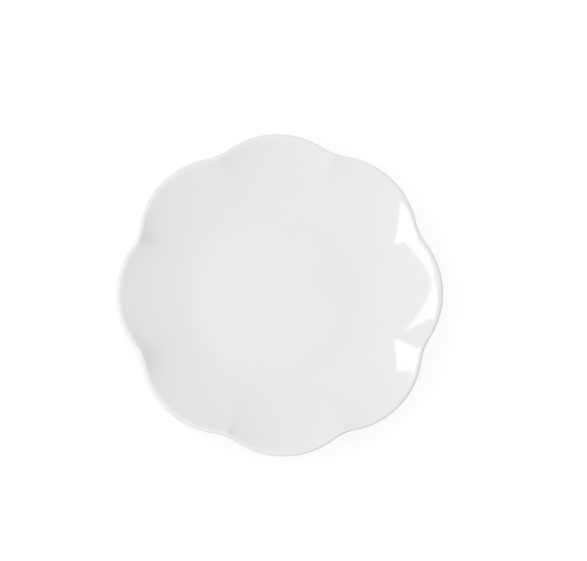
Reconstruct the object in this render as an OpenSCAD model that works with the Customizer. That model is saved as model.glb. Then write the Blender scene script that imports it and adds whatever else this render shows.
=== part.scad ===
// Scalloped dessert plate: a white porcelain coupe plate whose wall opens into shallow petals.
// The body is fired in one piece with its foot ring, and a clear glaze is melted over it.
// Millimetres, +Z up, with the origin at the centre of the foot ring's standing face.

/* [Outline] */
// Diameter across two opposite lobes
plate_d = 205; // [185:1:235]
// Number of lobes round the rim
lobe_count = 8; // [6:1:12]
// Radius of the arc round the end of a lobe
lobe_arc_r = 52.5; // [42:0.5:62]
// Radius of the round between two lobes at the outer edge
valley_round = 36; // [16:1:60]
// Radius of the ridge between two lobes on the eating face
ridge_round = 5; // [2:0.5:16]

/* [Eating face] */
// Diameter of the flat floor of the well
well_d = 98; // [84:1:108]
// Radius of the curve from the well into the wall
well_round = 50; // [30:1:60]
// Slope of the wall where that curve ends, in degrees
well_lean = 13; // [8:1:17]
// Height of the eating face where the rounded edge of a lobe begins, above the table
rim_h = 23.2; // [20:0.2:32]

/* [Thickness] */
// Thickness of the floor of the well
floor_t = 4.2; // [3:0.1:6]
// Thickness of the wall at the rim
rim_t = 3.6; // [2.6:0.1:5]
// Width of the rounded edge in the middle of a lobe, seen from above
lip_w = 3.3; // [3.1:0.1:6]
// Width of the rounded edge where a ridge runs out to it
ridge_lip_w = 2.6; // [2:0.1:3.2]
// Radius of the curve from the flat underside into the back of the wall
back_round = 12; // [6:1:24]
// Slope of the back of the wall where that curve ends, in degrees
back_lean = 20; // [12:1:26]

/* [Foot ring] */
// Outer diameter of the foot ring at the table
foot_d = 108; // [90:1:120]
// Width of the foot ring at the table
foot_w = 4; // [2.5:0.1:7]
// Depth of the recess inside the foot ring
foot_h = 3; // [2:0.1:5]
// Lean of the foot ring's two sides, in degrees
foot_draft = 8; // [0:1:15]
// Bevel that eases the two edges of the standing face
foot_ease = 0.4; // [0.1:0.1:0.8]
// Hollow round where the foot ring meets the underside
foot_cove = 1; // [0.4:0.1:1.4]
// Width of the flat ledge outside the foot ring
foot_ledge = 1.5; // [0.5:0.1:5]

/* [Glaze] */
// Thickness of the glaze
glaze_t = 0.25; // [0.15:0.01:0.4]
// Height of the foot ring that is wiped bare of glaze
bare_h = 0.8; // [0.3:0.1:1]

/* [Hidden] */

// Facets: steps round half a lobe, up the two curves, up the wall, over the edge and in the cove
lobe_steps = 6;
curve_steps = 3;
wall_steps = 5;
lip_steps = 6;
cove_steps = 4;
round_fn = 180;

half_lobe = 180 / lobe_count;
ring_count = 2 * lobe_steps * lobe_count;
lobe_c = plate_d / 2 - lobe_arc_r;
well_r = well_d / 2;
well_z = foot_h + floor_t;
base_z = foot_h + glaze_t;
foot_top = well_z - floor_t / 2;
flat_r = foot_out(foot_h) + glaze_t + foot_cove + foot_ledge;
hole_r = foot_out(foot_h) + glaze_t + foot_cove / 2;
straight = 0.001;

// The foot ring's outer and inner radius at a height
function foot_out(z) = foot_d / 2 + z * tan(foot_draft);
function foot_in(z) = foot_d / 2 - foot_w - z * tan(foot_draft);

// Turn from the middle of a lobe to a step round it, closer together towards the valley
function step_turn(i) = half_lobe * sin(90 * i / lobe_steps);

// Distance from the axis to the centre of the round between two lobes
function valley_c(valley_r) =
    lobe_c * cos(half_lobe) + sqrt(pow(lobe_arc_r + valley_r, 2) - pow(lobe_c * sin(half_lobe), 2));

// Turn from the middle of a lobe to where its arc meets that round
function meeting_turn(valley_r) =
    let (share = lobe_arc_r / (lobe_arc_r + valley_r), c = valley_c(valley_r))
    atan2(c * sin(half_lobe) * share, lobe_c + (c * cos(half_lobe) - lobe_c) * share);

// Radius of the scalloped outline at a turn from the middle of a lobe
function edge_r(turn, valley_r) =
    let (c = valley_c(valley_r), off = half_lobe - turn)
    turn <= meeting_turn(valley_r)
        ? lobe_c * cos(turn) + sqrt(pow(lobe_arc_r, 2) - pow(lobe_c * sin(turn), 2))
        : c * cos(off) - sqrt(pow(valley_r, 2) - pow(c * sin(off), 2));

// A section point is [radius, height, slope]. This one is on the curve out of a flat at f from 0 to 1
function curve_point(start_r, start_z, curve_r, lean, f) =
    let (slope = lean * f)
    [start_r + curve_r * sin(slope), start_z + curve_r * (1 - cos(slope)), slope];

// Point at f on the arc that leaves a section point along its slope and ends at [radius, height]
function arc_point(from, end, f) =
    let (dr = end[0] - from[0], dz = end[1] - from[1])
    let (bend = atan2(dz, dr) - from[2], way = from[2] + bend * f)
    let (reach = norm([dr, dz]) * (abs(bend) < straight ? f : sin(bend * f) / sin(bend)))
    [from[0] + reach * cos(way), from[1] + reach * sin(way), from[2] + 2 * bend * f];

// A section point moved square to its slope, downwards where depth is positive
function sunk(p, depth) = [p[0] + depth * sin(p[2]), p[1] - depth * cos(p[2])];

function well_curve(f) = curve_point(well_r, well_z, well_round, well_lean, f);
function back_curve(f) = curve_point(flat_r, foot_h, back_round, back_lean, f);

// Radius where the rounded edge begins on the eating face, with the lobes parted by a round.
// The edge narrows towards a ridge
function rim_r(turn, valley_r) =
    edge_r(turn, valley_r) - lip_w + (lip_w - ridge_lip_w) * pow(turn / half_lobe, 2);

// Point at f on the wall's arc from the well's curve, at 0, to the rim's height at a radius, at 1
function wall_to(radius, f) = arc_point(well_curve(1), [radius, rim_h], f);

// The eating face's wall, and its share where the rounded edge begins: a ridge runs on past 1
function face_wall(turn, f) = wall_to(rim_r(turn, ridge_round), f);
function face_end(turn) =
    let (from = face_wall(turn, 0), to = face_wall(turn, 1))
    let (run = (rim_r(turn, valley_round) - from[0]) / (to[0] - from[0]))
    abs(to[2] - from[2]) < straight
        ? run
        : (asin(sin(from[2]) * (1 - run) + sin(to[2]) * run) - from[2]) / (to[2] - from[2]);

// The back of the wall, from its curve, at 0, to the rounded edge, at 1
function back_wall(turn, f) =
    arc_point(back_curve(1), sunk(wall_to(edge_r(turn, valley_round) - lip_w, 1), rim_t), f);

// The rounded edge: half an oval between the two walls, out to the plate's outline
function lip(turn, inset) =
    let (face = face_wall(turn, face_end(turn)), back = back_wall(turn, 1))
    let (top = sunk(face, inset), under = sunk(back, -inset))
    let (middle = (top + under) / 2, across = (top - under) / 2, slope = (face[2] + back[2]) / 2)
    let (room = edge_r(turn, valley_round) - inset - middle[0])
    let (out = sqrt(pow(room, 2) - pow(across[0], 2)) / cos(slope))
    [for (i = [1 : lip_steps - 1])
        let (a = 180 * i / lip_steps)
        middle + across * cos(a) + out * sin(a) * [cos(slope), sin(slope)]];

// Section from the well, over the edge, to the flat underside, set in from the glazed surface
function section(turn, inset) = [
    for (i = [0 : curve_steps - 1]) sunk(well_curve(i / curve_steps), inset),
    for (i = [0 : wall_steps]) sunk(face_wall(turn, face_end(turn) * i / wall_steps), inset),
    each lip(turn, inset),
    for (i = [wall_steps : -1 : 0]) sunk(back_wall(turn, i / wall_steps), -inset),
    for (i = [curve_steps - 1 : -1 : 0]) sunk(back_curve(i / curve_steps), -inset)
];

function backwards(list) = [for (i = [len(list) - 1 : -1 : 0]) list[i]];

// A closed form through one section per step of half a lobe, mirrored round every lobe.
// Where a section comes back inside itself, from that ring on the facets are cut the other way,
// so that the inner side of a skin has the same facets as the body that it covers.
module petals(sections, first_z, last_z, back_from) {
    rings = len(sections[0]);
    points = [
        [0, 0, first_z],
        for (k = [0 : rings - 1], lobe = [0 : lobe_count - 1], i = [0 : 2 * lobe_steps - 1])
            let (step = min(i, 2 * lobe_steps - i), p = sections[step][k])
            let (turn = i == step ? step_turn(step) : 2 * half_lobe - step_turn(step))
            let (a = 2 * half_lobe * lobe + turn)
            [p[0] * cos(a), p[0] * sin(a), p[1]],
        [0, 0, last_z]
    ];
    function at(k, j) = 1 + k * ring_count + j % ring_count;
    faces = [
        for (j = [0 : ring_count - 1]) [0, at(0, j + 1), at(0, j)],
        for (k = [0 : rings - 2], j = [0 : ring_count - 1])
            let (a = at(k, j), b = at(k, j + 1), c = at(k + 1, j + 1), d = at(k + 1, j))
            let (first_half = j % (2 * lobe_steps) < lobe_steps)
            each first_half == (k < back_from) ? [[a, b, c], [a, c, d]] : [[a, b, d], [b, c, d]],
        for (j = [0 : ring_count - 1]) [at(rings - 1, j), at(rings - 1, j + 1), len(points) - 1]
    ];
    polyhedron(points, faces);
}

// The fired body: the well, the petalled wall and the foot ring are one piece of porcelain
module porcelain_body() {
    sections = [for (i = [0 : lobe_steps]) section(step_turn(i), glaze_t)];
    color("#eae7df")
    union() {
        petals(sections, well_z - glaze_t, base_z, len(sections[0]));
        rotate_extrude($fn = round_fn)
        polygon([
            [foot_in(0) + foot_ease, 0],
            [foot_out(0) - foot_ease, 0],
            [foot_out(foot_ease), foot_ease],
            [foot_out(foot_top), foot_top],
            [foot_in(foot_top), foot_top],
            [foot_in(foot_ease), foot_ease]
        ]);
    }
}

// The glaze over the face, the edge and the back, down to the wiped line on the foot ring
module glaze_coat() {
    sections = [
        for (i = [0 : lobe_steps])
            let (turn = step_turn(i))
            [
                each section(turn, 0),
                [hole_r, foot_h],
                [hole_r, base_z],
                each backwards(section(turn, glaze_t))
            ]
    ];
    skirt_r = foot_out(foot_h - foot_cove) + glaze_t + foot_cove;
    color("#f5f6f7")
    union() {
        petals(sections, well_z, well_z - glaze_t, len(sections[0]) / 2);
        rotate_extrude($fn = round_fn)
        polygon([
            [foot_out(bare_h), bare_h],
            [foot_out(bare_h + glaze_t) + glaze_t, bare_h + glaze_t],
            for (i = [0 : cove_steps])
                let (a = 90 * i / cove_steps)
                [skirt_r - foot_cove * cos(a), foot_h - foot_cove * (1 - sin(a))],
            [skirt_r, base_z],
            [foot_out(base_z), base_z]
        ]);
    }
}

// The glaze in the recess under the well, cut off from the rest by the bare foot ring
module base_glaze() {
    skirt_r = foot_in(foot_h - foot_cove) - glaze_t - foot_cove;
    color("#f1f2f2")
    rotate_extrude($fn = round_fn)
    polygon([
        [0, foot_h],
        for (i = [cove_steps : -1 : 0])
            let (a = 90 * i / cove_steps)
            [skirt_r + foot_cove * cos(a), foot_h - foot_cove * (1 - sin(a))],
        [foot_in(bare_h + glaze_t) - glaze_t, bare_h + glaze_t],
        [foot_in(bare_h), bare_h],
        [foot_in(base_z), base_z],
        [0, base_z]
    ]);
}

porcelain_body();
glaze_coat();
base_glaze();
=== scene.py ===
import math

import bmesh
import bpy
from mathutils import Matrix, Vector


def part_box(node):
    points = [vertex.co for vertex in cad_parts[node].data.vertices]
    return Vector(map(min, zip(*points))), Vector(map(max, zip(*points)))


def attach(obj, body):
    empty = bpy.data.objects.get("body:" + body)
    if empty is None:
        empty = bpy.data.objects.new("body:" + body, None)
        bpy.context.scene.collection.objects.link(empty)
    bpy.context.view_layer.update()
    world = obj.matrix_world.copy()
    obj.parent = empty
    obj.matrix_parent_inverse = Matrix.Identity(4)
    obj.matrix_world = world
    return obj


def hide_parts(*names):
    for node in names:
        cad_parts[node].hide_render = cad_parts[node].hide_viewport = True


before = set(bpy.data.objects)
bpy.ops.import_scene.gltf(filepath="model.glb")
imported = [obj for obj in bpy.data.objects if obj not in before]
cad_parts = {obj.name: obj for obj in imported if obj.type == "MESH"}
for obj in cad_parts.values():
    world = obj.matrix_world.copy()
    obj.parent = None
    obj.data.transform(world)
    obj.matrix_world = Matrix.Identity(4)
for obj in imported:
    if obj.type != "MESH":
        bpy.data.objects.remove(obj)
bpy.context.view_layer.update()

# Porcelain body.
# One pressing of white porcelain, fired hard: the well, the petalled wall and the foot ring together.
# The glaze hides it everywhere but on the foot ring, which is wiped bare and rubbed smooth to stand on.

plate_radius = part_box("glaze_coat")[1].x
lobes = 8
half_lobe = math.pi / lobes
lobe_arc = 0.0525
valley_round = 0.036
ridge_round = 0.005
well_radius = 0.049
well_round = 0.050
well_lean = math.radians(13)
rim_height = 0.0232
floor_thickness = 0.0042
rim_thickness = 0.0036
lip_width = 0.0033
ridge_lip_width = 0.0026
back_round = 0.012
back_lean = math.radians(20)
foot_radius = 0.054
foot_width = 0.004
foot_height = 0.003
foot_draft = math.radians(8)
foot_ease = 0.0004
foot_cove = 0.001
foot_ledge = 0.0015
glaze_thickness = 0.00025

well_height = foot_height + floor_thickness
base_height = foot_height + glaze_thickness
lobe_centre = plate_radius - lobe_arc
lobe_steps = 24
ring_corners = 2 * lobe_steps * lobes


def foot_outside(height):
    """Outer radius of the foot ring at a height."""
    return foot_radius + height * math.tan(foot_draft)


def foot_inside(height):
    """Inner radius of the foot ring at a height."""
    return foot_radius - foot_width - height * math.tan(foot_draft)


flat_radius = foot_outside(foot_height) + glaze_thickness + foot_cove + foot_ledge


def step_turn(step):
    """Turn from the middle of a lobe to a step round it, closer together towards the ridge."""
    return half_lobe * math.sin(math.pi / 2 * step / lobe_steps)


def lobe_edge(turn, between):
    """Radius of the scalloped outline, whose arcs meet in a round of radius `between`."""
    across = lobe_centre * math.sin(half_lobe)
    centre = lobe_centre * math.cos(half_lobe) + math.sqrt((lobe_arc + between) ** 2 - across**2)
    share = lobe_arc / (lobe_arc + between)
    meeting = math.atan2(
        centre * math.sin(half_lobe) * share,
        lobe_centre + (centre * math.cos(half_lobe) - lobe_centre) * share,
    )
    if turn <= meeting:
        return lobe_centre * math.cos(turn) + math.sqrt(lobe_arc**2 - (lobe_centre * math.sin(turn)) ** 2)
    off = half_lobe - turn
    return centre * math.cos(off) - math.sqrt(between**2 - (centre * math.sin(off)) ** 2)


def curve_point(radius, height, curve, lean, share):
    """A point (radius, height, slope) on the curve that rises out of a flat."""
    slope = lean * share
    return radius + curve * math.sin(slope), height + curve * (1 - math.cos(slope)), slope


def arc_point(start, end, share):
    """A point (radius, height, slope) on the arc that leaves `start` along its slope and ends at `end`."""
    run, rise = end[0] - start[0], end[1] - start[1]
    bend = math.atan2(rise, run) - start[2]
    way = start[2] + bend * share
    reach = math.hypot(run, rise) * math.sin(bend * share) / math.sin(bend)
    return start[0] + reach * math.cos(way), start[1] + reach * math.sin(way), start[2] + 2 * bend * share


def sunk(point, depth):
    """A section point moved square to its slope, downwards where depth is positive."""
    return point[0] + depth * math.sin(point[2]), point[1] - depth * math.cos(point[2])


def rim_radius(turn, between):
    """Radius where the rounded edge begins on the eating face. The edge is narrower at a ridge."""
    narrower = (lip_width - ridge_lip_width) * (turn / half_lobe) ** 2
    return lobe_edge(turn, between) - lip_width + narrower


def wall_to(radius, share):
    """The wall's arc from the well's curve, at 0, to the rim's height at a radius, at 1."""
    start = curve_point(well_radius, well_height, well_round, well_lean, 1)
    return arc_point(start, (radius, rim_height), share)


def face_wall(turn, share):
    """The eating face from the well's curve, at 0, to the edge, at 1. A ridge runs on along its arc."""
    start, end = (wall_to(rim_radius(turn, ridge_round), side) for side in (0, 1))
    run = (rim_radius(turn, valley_round) - start[0]) / (end[0] - start[0])
    slope = math.asin(math.sin(start[2]) * (1 - run) + math.sin(end[2]) * run)
    reach = (slope - start[2]) / (end[2] - start[2])
    return wall_to(rim_radius(turn, ridge_round), reach * share)


def back_wall(turn, share):
    """The back of the wall from the curve beside the foot ring, at 0, to the rounded edge, at 1."""
    start = curve_point(flat_radius, foot_height, back_round, back_lean, 1)
    rim = wall_to(lobe_edge(turn, valley_round) - lip_width, 1)
    return arc_point(start, sunk(rim, rim_thickness), share)


def rounded_edge(turn, inset, steps):
    """Half an oval from the face to the back, out to the plate's outline."""
    face, back = face_wall(turn, 1), back_wall(turn, 1)
    top, under = Vector(sunk(face, inset)), Vector(sunk(back, -inset))
    middle, across = (top + under) / 2, (top - under) / 2
    slope = (face[2] + back[2]) / 2
    room = lobe_edge(turn, valley_round) - inset - middle.x
    out = math.sqrt(room**2 - across.x**2) / math.cos(slope) * Vector((math.cos(slope), math.sin(slope)))
    turns = [math.pi * step / steps for step in range(1, steps)]
    return [tuple(middle + across * math.cos(a) + out * math.sin(a)) for a in turns]


def plate_section(turn, inset, fine):
    """Section from the well, over the edge, to the flat underside, set in from the glazed surface."""
    curve_steps, wall_steps, lip_steps = 3 * fine, 8 * fine, 8 * fine
    well = [
        sunk(curve_point(well_radius, well_height, well_round, well_lean, step / curve_steps), inset)
        for step in range(curve_steps)
    ]
    face = [sunk(face_wall(turn, step / wall_steps), inset) for step in range(wall_steps + 1)]
    back = [sunk(back_wall(turn, step / wall_steps), -inset) for step in range(wall_steps, -1, -1)]
    flat = [
        sunk(curve_point(flat_radius, foot_height, back_round, back_lean, step / curve_steps), -inset)
        for step in range(curve_steps - 1, -1, -1)
    ]
    return well + face + rounded_edge(turn, inset, lip_steps) + back + flat


def plate_sections(inset, fine, before, after):
    """One section for each step of half a lobe, with the rings before and after it that are plain circles."""
    return [
        before + plate_section(step_turn(step), inset, fine) + after for step in range(lobe_steps + 1)
    ]


def flat_rings(outer, height, count):
    """Rings of a flat disc, from near its middle out to a radius."""
    return [(outer * step / count, height) for step in range(2, count)]


def start_disc(name, radius, height):
    """Adds a filled disc, spaces its corners as the steps round the lobes, and selects its edge."""
    bpy.ops.object.select_all(action="DESELECT")
    bpy.ops.mesh.primitive_circle_add(vertices=ring_corners, radius=radius, fill_type="TRIFAN")
    disc = bpy.context.active_object
    disc.name = disc.data.name = name
    bpy.ops.object.mode_set(mode="EDIT")
    bpy.ops.transform.translate(value=(0, 0, height))
    form = bmesh.from_edit_mesh(disc.data)
    for corner in form.verts:
        count = round(math.atan2(corner.co.y, corner.co.x) / (2 * math.pi) * ring_corners) % ring_corners
        lobe, step = divmod(count, 2 * lobe_steps)
        turn = step_turn(step) if step <= lobe_steps else 2 * half_lobe - step_turn(step)
        away = math.hypot(corner.co.x, corner.co.y)
        corner.co.xy = Matrix.Rotation(2 * half_lobe * lobe + turn, 2) @ Vector((away, 0))
    bmesh.update_edit_mesh(disc.data)
    bpy.ops.mesh.select_mode(type="EDGE")
    bpy.ops.mesh.select_all(action="DESELECT")
    bpy.ops.mesh.select_non_manifold(
        use_wire=False, use_multi_face=False, use_non_contiguous=False, use_verts=False
    )
    return disc


def draw_rings(disc, sections):
    """Extrudes the disc's open edge from ring to ring, each drawn in or out to the sections' next point."""
    for station in range(len(sections[0])):
        bpy.ops.mesh.extrude_edges_move()
        form = bmesh.from_edit_mesh(disc.data)
        for corner in form.verts:
            if corner.select:
                bearing = math.atan2(corner.co.y, corner.co.x)
                turn = abs((bearing + half_lobe) % (2 * half_lobe) - half_lobe)
                step = round(math.asin(min(1, turn / half_lobe)) / (math.pi / 2) * lobe_steps)
                radius, height = sections[step][station]
                corner.co = radius * math.cos(bearing), radius * math.sin(bearing), height
        bmesh.update_edit_mesh(disc.data)


def close_form(smooth_angle):
    """Fills the last ring, turns every face outwards and smooths the form below an angle between faces."""
    bpy.ops.mesh.edge_face_add()
    bpy.ops.mesh.poke()
    bpy.ops.mesh.select_all(action="SELECT")
    bpy.ops.mesh.normals_make_consistent(inside=False)
    bpy.ops.object.mode_set(mode="OBJECT")
    bpy.ops.object.shade_smooth_by_angle(angle=smooth_angle)


def foot_section():
    """Rings from the underside down the foot ring, under it and up again to the recess."""
    ease_steps = 4
    outside = [(foot_outside(base_height), base_height), (foot_outside(foot_ease), foot_ease)]
    eased = [math.pi / 2 * step / ease_steps for step in range(1, ease_steps + 1)]
    round_out = [
        (foot_outside(0) - foot_ease * (1 - math.cos(a)), foot_ease * (1 - math.sin(a))) for a in eased
    ]
    round_in = [
        (foot_inside(0) + foot_ease * (1 - math.cos(a)), foot_ease * (1 - math.sin(a))) for a in eased
    ]
    inside = [(foot_inside(foot_ease), foot_ease), (foot_inside(base_height), base_height)]
    return outside + round_out + round_in[::-1] + inside


rubbed_porcelain = (0.735, 0.712, 0.66, 1)
chalky_porcelain = (0.79, 0.77, 0.72, 1)


def porcelain_material():
    """Bare fired porcelain: chalky white, with a fine tooth and the faint bloom of being rubbed flat."""
    clay = bpy.data.materials.new("bare_porcelain")
    clay.use_nodes = True
    nodes, links = clay.node_tree.nodes, clay.node_tree.links
    surface = nodes["Principled BSDF"]
    place = nodes.new("ShaderNodeTexCoord")
    tooth = nodes.new("ShaderNodeTexNoise")
    tooth.inputs["Scale"].default_value = 3200
    tooth.inputs["Detail"].default_value = 3
    bloom = nodes.new("ShaderNodeTexNoise")
    bloom.inputs["Scale"].default_value = 420
    bloom.inputs["Detail"].default_value = 5
    tint = nodes.new("ShaderNodeValToRGB")
    tint.color_ramp.elements[0].position = 0.35
    tint.color_ramp.elements[0].color = rubbed_porcelain
    tint.color_ramp.elements[1].position = 0.62
    tint.color_ramp.elements[1].color = chalky_porcelain
    raised = nodes.new("ShaderNodeBump")
    raised.inputs["Distance"].default_value = 0.00003
    for texture in (tooth, bloom):
        links.new(place.outputs["Object"], texture.inputs["Vector"])
    links.new(bloom.outputs["Fac"], tint.inputs["Fac"])
    links.new(tint.outputs["Color"], surface.inputs["Base Color"])
    links.new(tooth.outputs["Fac"], raised.inputs["Height"])
    links.new(raised.outputs["Normal"], surface.inputs["Normal"])
    surface.inputs["Roughness"].default_value = 0.62
    surface.inputs["Specular IOR Level"].default_value = 0.35
    return clay


well_rings = 6
sharp = math.radians(40)
biscuit_well = well_height - glaze_thickness
biscuit = start_disc("fired_body", well_radius / well_rings, biscuit_well)
draw_rings(
    biscuit,
    plate_sections(
        inset=glaze_thickness,
        fine=2,
        before=flat_rings(well_radius, biscuit_well, well_rings),
        after=foot_section() + flat_rings(foot_inside(base_height), base_height, well_rings)[::-1],
    ),
)
close_form(sharp)
biscuit.data.materials.append(porcelain_material())
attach(biscuit, "root")
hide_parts("porcelain_body")

# Glaze coat.
# Clear gloss glaze, melted in one layer over the face, the rounded edge and the back of the plate.
# It gathers in the corner at the foot ring, and stops at the line where the ring is wiped bare.

bare_height = 0.0008
glaze_grey = (0.787, 0.786, 0.803, 1)
glaze_white = (0.797, 0.796, 0.812, 1)


def cove_section(side):
    """Rings of the glaze that gathers in the corner of the foot ring, down to the wiped line."""
    foot_side = foot_outside if side > 0 else foot_inside
    cove_steps = 6
    centre = foot_side(foot_height - foot_cove) + side * (glaze_thickness + foot_cove)
    hollow = [math.pi / 2 * step / cove_steps for step in range(cove_steps, -1, -1)]
    rings = [
        (centre - side * foot_cove * math.cos(a), foot_height - foot_cove * (1 - math.sin(a))) for a in hollow
    ]
    line = bare_height + glaze_thickness
    return rings + [(foot_side(line) + side * glaze_thickness, line), (foot_side(bare_height), bare_height)]


def glaze_material():
    """White glazed porcelain: a milky white under a clear coat whose surface ripples very slightly."""
    glaze = bpy.data.materials.new("white_glaze")
    glaze.use_nodes = True
    nodes, links = glaze.node_tree.nodes, glaze.node_tree.links
    surface = nodes["Principled BSDF"]
    place = nodes.new("ShaderNodeTexCoord")
    ripple = nodes.new("ShaderNodeTexNoise")
    ripple.inputs["Scale"].default_value = 42
    ripple.inputs["Detail"].default_value = 1
    pull = nodes.new("ShaderNodeTexNoise")
    pull.inputs["Scale"].default_value = 520
    pull.inputs["Detail"].default_value = 2
    cloud = nodes.new("ShaderNodeTexNoise")
    cloud.inputs["Scale"].default_value = 26
    cloud.inputs["Detail"].default_value = 3
    tint = nodes.new("ShaderNodeValToRGB")
    tint.color_ramp.elements[0].position = 0.3
    tint.color_ramp.elements[0].color = glaze_grey
    tint.color_ramp.elements[1].position = 0.7
    tint.color_ramp.elements[1].color = glaze_white
    long_wave = nodes.new("ShaderNodeBump")
    long_wave.inputs["Distance"].default_value = 0.000004
    short_wave = nodes.new("ShaderNodeBump")
    short_wave.inputs["Distance"].default_value = 0.0000006
    for texture in (ripple, pull, cloud):
        links.new(place.outputs["Object"], texture.inputs["Vector"])
    links.new(cloud.outputs["Fac"], tint.inputs["Fac"])
    links.new(tint.outputs["Color"], surface.inputs["Base Color"])
    links.new(ripple.outputs["Fac"], long_wave.inputs["Height"])
    links.new(pull.outputs["Fac"], short_wave.inputs["Height"])
    links.new(long_wave.outputs["Normal"], short_wave.inputs["Normal"])
    links.new(short_wave.outputs["Normal"], surface.inputs["Normal"])
    links.new(short_wave.outputs["Normal"], surface.inputs["Coat Normal"])
    surface.inputs["Roughness"].default_value = 0.16
    surface.inputs["Specular IOR Level"].default_value = 0.5
    surface.inputs["Coat Weight"].default_value = 1.0
    surface.inputs["Coat Roughness"].default_value = 0.025
    surface.inputs["Coat IOR"].default_value = 1.62
    return glaze


white_glaze = glaze_material()
coat = start_disc("outer_glaze", well_radius / well_rings, well_height)
outer = plate_sections(
    inset=0,
    fine=3,
    before=flat_rings(well_radius, well_height, well_rings),
    after=cove_section(1),
)
inner = plate_sections(
    inset=glaze_thickness,
    fine=1,
    before=flat_rings(well_radius, biscuit_well, well_rings),
    after=[(foot_outside(base_height), base_height)],
)
draw_rings(coat, [skin + lining[::-1] for skin, lining in zip(outer, inner)])
close_form(sharp)
coat.data.materials.append(white_glaze)
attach(coat, "root")
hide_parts("glaze_coat")

# Base glaze.
# The same glaze in the recess under the well. The bare foot ring cuts it off from the rest.

recess = start_disc("recess_glaze", foot_inside(base_height) / well_rings, base_height)
recess_flat = flat_rings(foot_inside(base_height), base_height, well_rings)
recess_face = flat_rings(foot_inside(foot_height) - glaze_thickness - foot_cove, foot_height, well_rings)
recess_rings = (
    recess_flat
    + [(foot_inside(base_height), base_height)]
    + cove_section(-1)[::-1]
    + recess_face[::-1]
)
draw_rings(recess, [recess_rings] * (lobe_steps + 1))
close_form(sharp)
recess.data.materials.append(white_glaze)
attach(recess, "root")
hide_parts("base_glaze")

# Floor.
# A flat sheet of white paper under the plate. The camera and the gloss see it lifted to white, and it keeps
# the plate's shadow.

floor_size = 6.0
floor_lift = 0.8
paper_grey = (0.25, 0.25, 0.25, 1)


def looked_at(tree):
    """A socket that is 1 for rays from the camera, gloss or clear matter, and 0 for bounced light."""
    path = tree.nodes.new("ShaderNodeLightPath")
    either = tree.nodes.new("ShaderNodeMath")
    either.operation = "MAXIMUM"
    tree.links.new(path.outputs["Is Camera Ray"], either.inputs[0])
    tree.links.new(path.outputs["Is Glossy Ray"], either.inputs[1])
    any_of = tree.nodes.new("ShaderNodeMath")
    any_of.operation = "MAXIMUM"
    tree.links.new(either.outputs["Value"], any_of.inputs[0])
    tree.links.new(path.outputs["Is Transmission Ray"], any_of.inputs[1])
    return any_of.outputs["Value"]


bpy.ops.object.select_all(action="DESELECT")
bpy.ops.mesh.primitive_plane_add(size=floor_size)
floor = bpy.context.active_object
floor.name = "floor"
paper = bpy.data.materials.new("white_paper")
paper.use_nodes = True
nodes, links = paper.node_tree.nodes, paper.node_tree.links
sheet = nodes["Principled BSDF"]
sheet.inputs["Base Color"].default_value = paper_grey
sheet.inputs["Roughness"].default_value = 1
sheet.inputs["Specular IOR Level"].default_value = 0
sheet.inputs["Emission Color"].default_value = (1, 1, 1, 1)
lift = nodes.new("ShaderNodeMath")
lift.operation = "MULTIPLY"
lift.inputs[1].default_value = floor_lift
links.new(looked_at(paper.node_tree), lift.inputs[0])
links.new(lift.outputs["Value"], sheet.inputs["Emission Strength"])
floor.data.materials.append(paper)

# Window light.
# A large soft sheet of light, flat overhead to the left. Its near edges and one side show as the
# bright reflection on the right of the wall. The other light comes evenly from white surroundings.

photo_roll = math.radians(-1.23)
panel_height = 1.0
panel_radiance = 2.77
panel_corners = [
    (-0.79, 0.71),
    (-1.1, 0.76),
    (-1.3, 0.82),
    (-1.45, 0.8),
    (-1.7, 0.63),
    (-2.3, 0.55),
    (-2.3, -2.5),
    (-0.945, -0.56),
    (-0.9, -0.22),
    (-0.96, 0.08),
    (-0.935, 0.23),
    (-0.835, 0.49),
]
bpy.ops.object.select_all(action="DESELECT")
bpy.ops.mesh.primitive_circle_add(vertices=len(panel_corners), fill_type="NGON")
panel = bpy.context.active_object
panel.name = "window_panel"
for corner, (across, along) in zip(panel.data.vertices, panel_corners):
    corner.co = Matrix.Rotation(photo_roll, 3, "Z") @ Vector((across, along, panel_height))
daylight = bpy.data.materials.new("daylight")
daylight.use_nodes = True
nodes, links = daylight.node_tree.nodes, daylight.node_tree.links
shine = nodes.new("ShaderNodeEmission")
shine.inputs["Strength"].default_value = panel_radiance
links.new(shine.outputs["Emission"], nodes["Material Output"].inputs["Surface"])
panel.data.materials.append(daylight)
panel.visible_camera = False

surround_level = 0.893
surround = bpy.data.worlds.new("white_room")
surround.use_nodes = True
bpy.context.scene.world = surround
nodes, links = surround.node_tree.nodes, surround.node_tree.links
glow = nodes.new("ShaderNodeMapRange")
glow.inputs["To Min"].default_value = surround_level
glow.inputs["To Max"].default_value = 1
links.new(looked_at(surround.node_tree), glow.inputs["Value"])
links.new(glow.outputs["Result"], nodes["Background"].inputs["Strength"])
nodes["Background"].inputs["Color"].default_value = (1, 1, 1, 1)

# Painted reflections.
# A grey card stands on the right, paler towards its top, and paints darker reflections on the creases on the
# left of the plate. A brown card lies round the right, paler on all sides, and paints the floor's shadow as a
# dark reflection along the edge. Only gloss shows the cards; they glow, but are no lamps.

# Painted reflection: the grey that the creases reflect from the standing card.
painted_reflection_grey = (0.38, 0.38, 0.38, 1)
standing_away = 0.9
standing_start = -0.6
standing_length = 2.2
standing_height = 0.8
standing_drop = 0.3
standing_fade = 0.5
# Painted shadow: the brown of the floor's shadow beside the plate, as the edge reflects it.
painted_shadow_brown = (0.1, 0.085, 0.02, 1)
lying_bearing = math.radians(262)
lying_turn = math.radians(188)
lying_radius = 0.098
lying_width = 0.3
lying_lift = 0.0005
lying_start_fade = math.radians(22.56)
lying_end_fade = math.radians(99.64)
lying_near_fade = 0.014
lying_far_fade = 0.27


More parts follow.
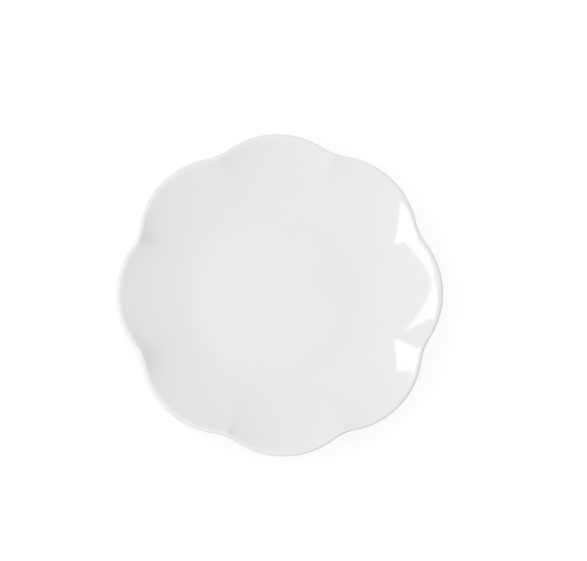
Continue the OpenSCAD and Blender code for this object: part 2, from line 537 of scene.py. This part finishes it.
def painted_reflection_material(name, shade):
    """Painted reflection: a card that glows white, and darker towards a shade by the depth that each of its
    corners holds.
    """
    glow = bpy.data.materials.new(name)
    glow.use_nodes = True
    nodes, links = glow.node_tree.nodes, glow.node_tree.links
    depth = nodes.new("ShaderNodeAttribute")
    depth.attribute_name = "depth"
    tint = nodes.new("ShaderNodeValToRGB")
    tint.color_ramp.elements[0].color = (1, 1, 1, 1)
    tint.color_ramp.elements[1].color = shade
    shine = nodes.new("ShaderNodeEmission")
    links.new(depth.outputs["Fac"], tint.inputs["Fac"])
    links.new(tint.outputs["Color"], shine.inputs["Color"])
    links.new(shine.outputs["Emission"], nodes["Material Output"].inputs["Surface"])
    return glow


def add_painted_reflection(name, columns, rows, card_corner, shade):
    """Adds a gloss-only grid of painted reflection; `card_corner` gives each corner a place and a depth of
    shade.
    """
    bpy.ops.object.select_all(action="DESELECT")
    bpy.ops.mesh.primitive_grid_add(x_subdivisions=columns, y_subdivisions=rows, size=1)
    card = bpy.context.active_object
    card.name = name
    depths = card.data.attributes.new("depth", "FLOAT", "POINT")
    for corner, depth in zip(card.data.vertices, depths.data):
        corner.co, depth.value = card_corner(corner.co.x + 0.5, corner.co.y + 0.5)
    card.data.materials.append(painted_reflection_material(name, shade))
    # It glows and only gloss sees it: a painted reflection, no lamp, that blocks no light.
    card.visible_camera = False
    card.visible_diffuse = False
    card.visible_shadow = False


def standing_corner(across, up):
    """A corner of the standing card, whose top drops over its farther half and fades."""
    top = standing_height - standing_drop * max(0, 2 * across - 1)
    corner = Vector((standing_away, standing_start + standing_length * across, top * up))
    return corner, min(1, (1 - up) / standing_fade)


def lying_corner(along, out):
    """A corner of the lying card, from the photograph's bottom round the right to its top, and outwards."""
    turned = lying_turn * along
    bearing = lying_bearing + turned
    spread = lying_width * out**2
    radius = lying_radius + spread
    ends = min(1, turned / lying_start_fade, (lying_turn - turned) / lying_end_fade)
    sides = min(1, spread / lying_near_fade, (lying_width - spread) / lying_far_fade)
    corner = Vector((radius * math.cos(bearing), radius * math.sin(bearing), lying_lift))
    return corner, ends * sides


# Painted reflection that darkens the creases on the left of the plate.
add_painted_reflection("standing_painted_reflection", columns=8, rows=8, card_corner=standing_corner, shade=painted_reflection_grey)
# Painted shadow of the floor, which darkens the reflection along the edge.
add_painted_reflection("lying_painted_shadow", columns=48, rows=24, card_corner=lying_corner, shade=painted_shadow_brown)

# Camera.
# Nearly straight above the plate, leaning a little towards the bottom of the photograph.

photo_width = 587
photo_height = 561
plate_pixel = (280.4, 293.1)
pixel = 0.000626
camera_lean = math.radians(10.9)
camera_side = math.radians(251.9)
camera_distance = 1.5
bpy.ops.object.camera_add()
camera = bpy.context.active_object
camera.data.sensor_width = 36
camera.data.lens = camera.data.sensor_width * camera_distance / (photo_width * pixel)
side = camera_side + photo_roll
back = Vector(
    (
        math.sin(camera_lean) * math.cos(side),
        math.sin(camera_lean) * math.sin(side),
        math.cos(camera_lean),
    )
)
across = Vector((math.cos(photo_roll), math.sin(photo_roll), 0))
right = (across - across.dot(back) * back).normalized()
up = back.cross(right)
rim_middle = Vector((0, 0, rim_height))
aim = (
    rim_middle
    + right * pixel * (photo_width / 2 - plate_pixel[0])
    - up * pixel * (photo_height / 2 - plate_pixel[1])
)
turn = Matrix((right, up, back)).transposed().to_4x4()
camera.matrix_world = Matrix.Translation(aim + back * camera_distance) @ turn
bpy.context.scene.camera = camera
bpy.context.scene.view_settings.view_transform = "Standard"
